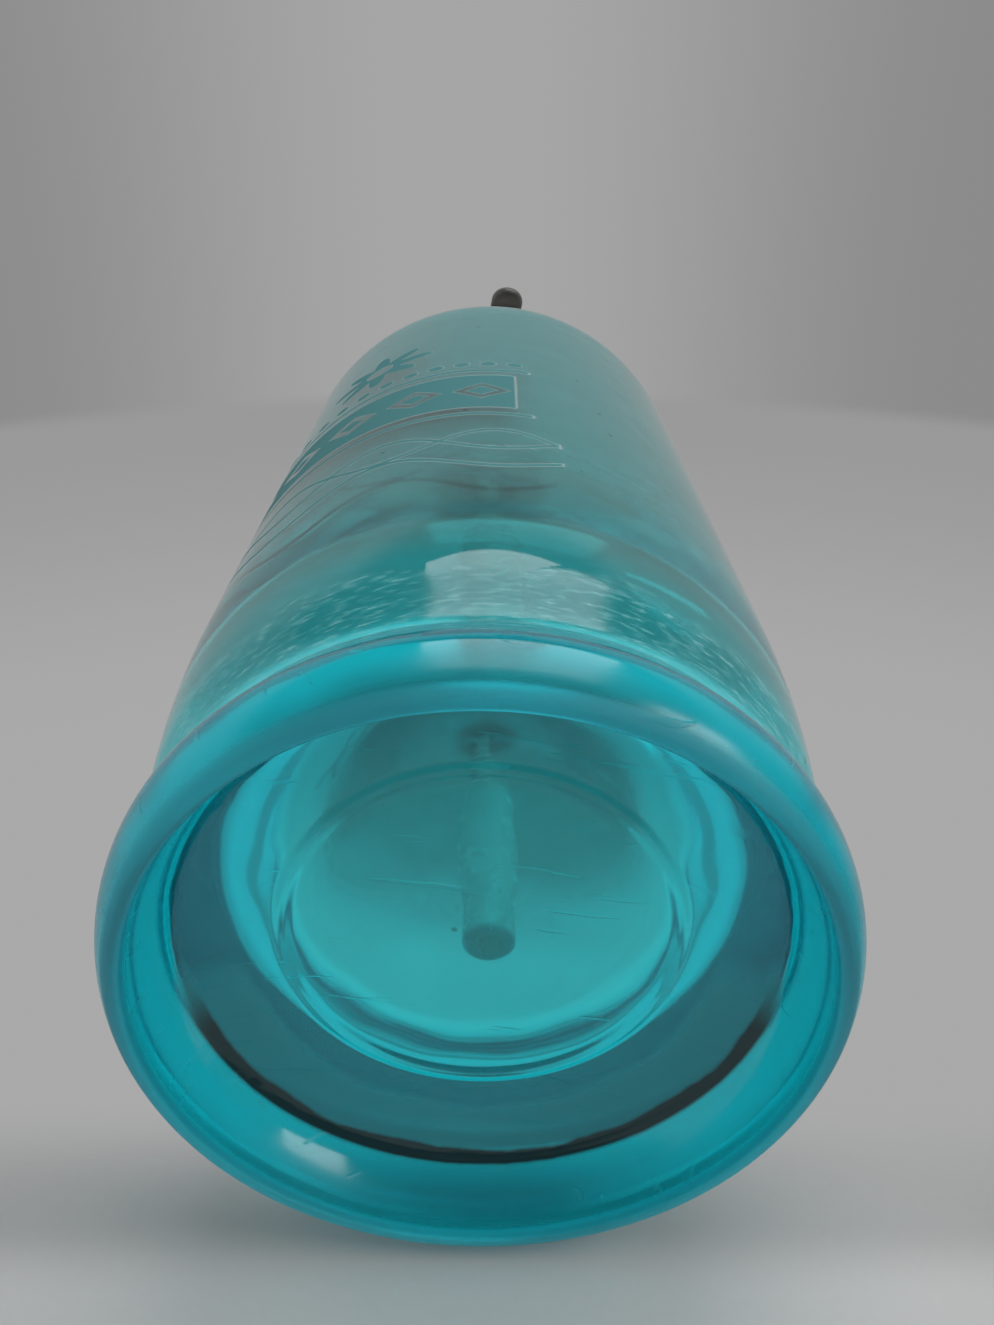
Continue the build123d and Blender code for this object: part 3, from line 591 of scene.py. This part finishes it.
def stage_plane(name, origin, x, y, size, painted_light, fading):
    """A square of cloth for the stage, with light and shade painted into its colour by one function, and
    faded out by another and from behind.
    """
    half = size / 2
    mesh = bpy.data.meshes.new(name)
    corners = [(-half, -half, 0), (half, -half, 0), (half, half, 0), (-half, half, 0)]
    mesh.from_pydata(corners, [], [(0, 1, 2, 3)])
    plane = add_object(name, mesh)
    plane.matrix_world = axes_at(origin, x, y, x.cross(y))
    plane.visible_diffuse = plane.visible_shadow = False
    material, shader = new_material(name, Roughness=0.9, Specular_IOR_Level=0.1)
    tree = material.node_tree
    place = own_place(tree)
    tone = total(tree, ramp(tree, cloud(tree, place, FOLD_SCALE, 2), *CLOTH_SPREAD, *FOLD_TONES),
                 ramp(tree, cloud(tree, place, WEAVE_SCALE, 2), *CLOTH_SPREAD, *WEAVE_TONES))
    cloth_colour_and_painted_light = add_node(tree, "ShaderNodeMix", Factor=1.0)
    cloth_colour_and_painted_light.data_type, cloth_colour_and_painted_light.blend_type = "RGBA", "MULTIPLY"
    cloth_colour_and_painted_light.inputs["A"].default_value = CLOTH_COLOUR
    # the cloth's colour times its uneven tone and its painted light and shade
    wire(tree, product(tree, tone, painted_light(tree, place)), cloth_colour_and_painted_light.inputs["B"])
    wire(tree, cloth_colour_and_painted_light.outputs["Result"], shader.inputs["Base Color"])
    back = tree.nodes.new("ShaderNodeNewGeometry").outputs["Backfacing"]
    mix = tree.nodes.new("ShaderNodeMixShader")
    wire(tree, largest(tree, back, *fading(tree, place)), mix.inputs[0])
    wire(tree, shader.outputs[0], mix.inputs[1])
    wire(tree, tree.nodes.new("ShaderNodeBsdfTransparent").outputs[0], mix.inputs[2])
    wire(tree, mix.outputs[0], tree.nodes["Material Output"].inputs["Surface"])
    mesh.materials.append(material)


def patch_reach(tree, place):
    """The distance from the spot that the foot lies on, counted longer along the bottle."""
    stretched = vector_calc(tree, "MULTIPLY", place, PATCH_STRETCH)["Vector"]
    return vector_calc(tree, "LENGTH", stretched)["Value"]


def table_painted_light(tree, place):
    """A painted pool of light round the foot, where light comes through the glass, and a painted shadow where
    the glass touches.
    """
    return product(tree, ramp(tree, patch_reach(tree, place), *PAINTED_GLOW_REACH, *PAINTED_GLOW),
                   ramp(tree, split(tree, place)[1], *PAINTED_SHADOW_REACH, *PAINTED_CONTACT_SHADOW))


def table_fading(tree, place):
    """Out of sight far from the foot, and from the foot on along the bottle."""
    return ramp(tree, patch_reach(tree, place), *TABLE_EDGE), ramp(tree, split(tree, place)[1], *TABLE_BEYOND)


def floor_shading(tree, place):
    """Even."""
    return 1.0


def floor_fading(tree, place):
    """Out of sight far away, and right under the bottle to all but the camera."""
    reach = vector_calc(tree, "LENGTH", place)["Value"]
    camera = tree.nodes.new("ShaderNodeLightPath").outputs["Is Camera Ray"]
    hole = product(tree, remainder(tree, camera), ramp(tree, reach, *FLOOR_HOLE))
    return hole, ramp(tree, reach, *FLOOR_EDGE)


def build_stage():
    """The cloth that the bottle lies on in the photograph, and the floor that it stands on upright."""
    stage_plane("tabletop", TABLE_CONTACT, RIGHT, TABLE_NORMAL.cross(RIGHT), TABLE_SIZE,
                table_painted_light, table_fading)
    stage_plane("floor", Vector((0, 0, 0)), Vector((1, 0, 0)), Vector((0, 1, 0)), FLOOR_SIZE,
                floor_shading, floor_fading)


# ---------------------------------------------------------------- room: how bright it is, and which way
ROOM_LEVEL = 0.55
MIRRORED, MIRRORED_DARK, OVERHEAD_SPREAD = 0.36, 0.06, (0.36, 0.56)
DIM_SIDE, DIM_SPREAD = Vector((-0.75, 0.1, -0.65)).normalized(), (0.0, 0.7)
THROUGH_NEAR, THROUGH_FAR, THROUGH_DARK, FAR_SPREAD = 0.60, 0.40, 0.02, (0.30, 0.90)
DARK_DIRECTION, DARK_SPREAD, DARK_BEHIND = (0.1, 0.65, -0.76), (0.12, 0.62), (0.0, -0.3)
SURROUND, AHEAD, HORIZON, HORIZON_EDGE = 0.40, (0.55, 0.85), -0.252, 0.008
# painted shade of the backdrop: the wall darker to the sides, the cloth darker towards the horizon
WALL_MIDDLE, WALL_SPREAD, WALL_PAINTED_SHADE = -0.03, (0.03, 0.42), (0.02, 0.14)
CLOTH_FALL, CLOTH_PAINTED_SHADE = 0.25, 0.08


def room_mirrored(tree, place, along):
    """What gloss sees: a pale room, dark overhead and at one side."""
    dark = largest(tree, ramp(tree, toward(tree, place, UP), *OVERHEAD_SPREAD),
                   ramp(tree, toward(tree, place, DIM_SIDE), *DIM_SPREAD))
    return ramp(tree, dark, 0.0, 1.0, MIRRORED, MIRRORED_DARK)


def room_through_glass(tree, place, along):
    """What is seen through glass: a bright room, darker ahead, and dark above and behind the camera."""
    dark = product(tree, ramp(tree, toward(tree, place, DARK_DIRECTION), *DARK_SPREAD),
                   ramp(tree, along, *DARK_BEHIND))
    bright = ramp(tree, ramp(tree, along, *FAR_SPREAD), 0.0, 1.0, THROUGH_NEAR, THROUGH_FAR)
    return total(tree, product(tree, remainder(tree, dark), bright), product(tree, dark, THROUGH_DARK))


def room_in_view(tree, place, along):
    """What the camera sees: pale cloth and a wall, with painted shade that makes the cloth darker near the
    horizon, where it meets the wall, and the wall darker to the sides.
    """
    upward = toward(tree, place, UP)
    wall = ramp(tree, upward, HORIZON - HORIZON_EDGE, HORIZON + HORIZON_EDGE)
    aside = calc(tree, "ABSOLUTE", total(tree, toward(tree, place, RIGHT), -WALL_MIDDLE))
    wall_painted_shade = ramp(tree, aside, *WALL_SPREAD, *WALL_PAINTED_SHADE)
    cloth_painted_shade = ramp(tree, upward, HORIZON, HORIZON - CLOTH_FALL, CLOTH_PAINTED_SHADE, 0.0)
    painted_shade = total(tree, product(tree, wall, wall_painted_shade), product(tree, remainder(tree, wall), cloth_painted_shade))
    return calc(tree, "SUBTRACT", SURROUND, product(tree, painted_shade, ramp(tree, along, *AHEAD)))


def build_world():
    """A room of even light, with its own look for gloss, for glass and for the camera."""
    world = bpy.data.worlds.new("room")
    scene.world = world
    world.use_nodes = True
    tree = world.node_tree
    place = tree.nodes.new("ShaderNodeTexCoord").outputs["Generated"]
    along = split(tree, place)[2]
    path = tree.nodes.new("ShaderNodeLightPath").outputs
    views = {"Is Glossy Ray": room_mirrored, "Is Transmission Ray": room_through_glass,
             "Is Camera Ray": room_in_view}
    level = ROOM_LEVEL
    for kind, view in views.items():
        mix = add_node(tree, "ShaderNodeMix", Factor=path[kind], A=level, B=view(tree, place, along))
        level = mix.outputs["Result"]
    wire(tree, level, tree.nodes["Background"].inputs["Color"])


# ---------------------------------------------------------------- lights and camera
WINDOW_TARGET = 0.02


def area_light(name, position, target, size_x, size_y, radiance):
    """A rectangle of the given radiance that faces a target, out of the camera's sight."""
    light = bpy.data.lights.new(name, "AREA")
    light.shape, light.size, light.size_y = "RECTANGLE", size_x, size_y
    light.energy = radiance * math.pi * size_x * size_y
    lamp = add_object(name, light)
    towards = (target - position).normalized()
    x = (RIGHT - towards * RIGHT.dot(towards)).normalized()
    lamp.matrix_world = axes_at(position, x, (-towards).cross(x), -towards)
    lamp.visible_camera = False


def window(name, rise, lean, distance, height, width, radiance):
    """A bright panel, rise degrees from overhead towards the bottle's top and lean degrees to the right."""
    rise, lean = math.radians(rise), math.radians(lean)
    overhead = UP * math.cos(lean) + RIGHT * math.sin(lean)
    away = overhead * math.cos(rise) + AXIS * math.sin(rise)
    target = AXIS * WINDOW_TARGET
    area_light(name, target + away * distance, target, width, height, radiance)


def build_lights():
    """The two windows of the photograph's room."""
    window("overhead_window", rise=29, lean=9, distance=1.2, height=1.0, width=0.9, radiance=2.0)
    window("side_window", rise=-8, lean=55, distance=1.3, height=0.6, width=0.5, radiance=4.0)


def build_camera():
    """The photograph's camera, before and above the foot of the lying bottle."""
    data = bpy.data.cameras.new("camera")
    data.lens, data.sensor_width = CAMERA_LENS, CAMERA_SENSOR
    camera = add_object("camera", data)
    forward = AXIS * math.cos(CAMERA_TILT) - UP * math.sin(CAMERA_TILT)
    above = AXIS * math.sin(CAMERA_TILT) + UP * math.cos(CAMERA_TILT)
    place = UP * CAMERA_ABOVE + RIGHT * CAMERA_SIDE - AXIS * CAMERA_BELOW
    camera.matrix_world = axes_at(place, RIGHT, above, -forward)
    scene.camera = camera


# ---------------------------------------------------------------- the object
def dress_nodes():
    """The finishes of the CAD's own meshes, all but the bottle's, which the lathed glass replaces."""
    # dark and light tone, scale, least and most roughness, metallic, strength of the grain
    finishes = {
        "tube_glass": tube_material(),
        "pewter": mottled("pewter", (0.125, 0.122, 0.116), (0.235, 0.228, 0.213), 120, 0.42, 0.6, 0.7, 0.25),
        "brass": mottled("brass", (0.42, 0.30, 0.12), (0.58, 0.44, 0.20), 150, 0.3, 0.5, 1.0, 0.15),
        "steel": mottled("steel", (0.38, 0.37, 0.35), (0.5, 0.49, 0.47), 150, 0.25, 0.4, 1.0, 0.1),
        "rubber": mottled("rubber", (0.018, 0.018, 0.018), (0.035, 0.034, 0.033), 200, 0.6, 0.8, 0.0, 0.3),
    }
    slots = {part["node"]: part["material_slot"] for part in frame["record"]["subparts"]}
    for name, node in frame["nodes"].items():
        if slots[name] in finishes:
            node.data.materials.clear()
            node.data.materials.append(finishes[slots[name]])


def build_bottle():
    """The lathed glass, in place of the CAD's bottle."""
    outside = bottle_outside()
    glass = lathe("bottle_glass", outside + bottle_inside(), len(outside))
    glass.data.materials.append(glass_material())
    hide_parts("bottle")
    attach(glass, "siphon")


scene.view_settings.view_transform = "Standard"
scene.cycles.max_bounces = 32
scene.cycles.transmission_bounces = 32
scene.cycles.glossy_bounces = 24
scene.cycles.transparent_max_bounces = 16
build_camera()
build_stage()
build_world()
build_lights()
dress_nodes()
build_bottle()
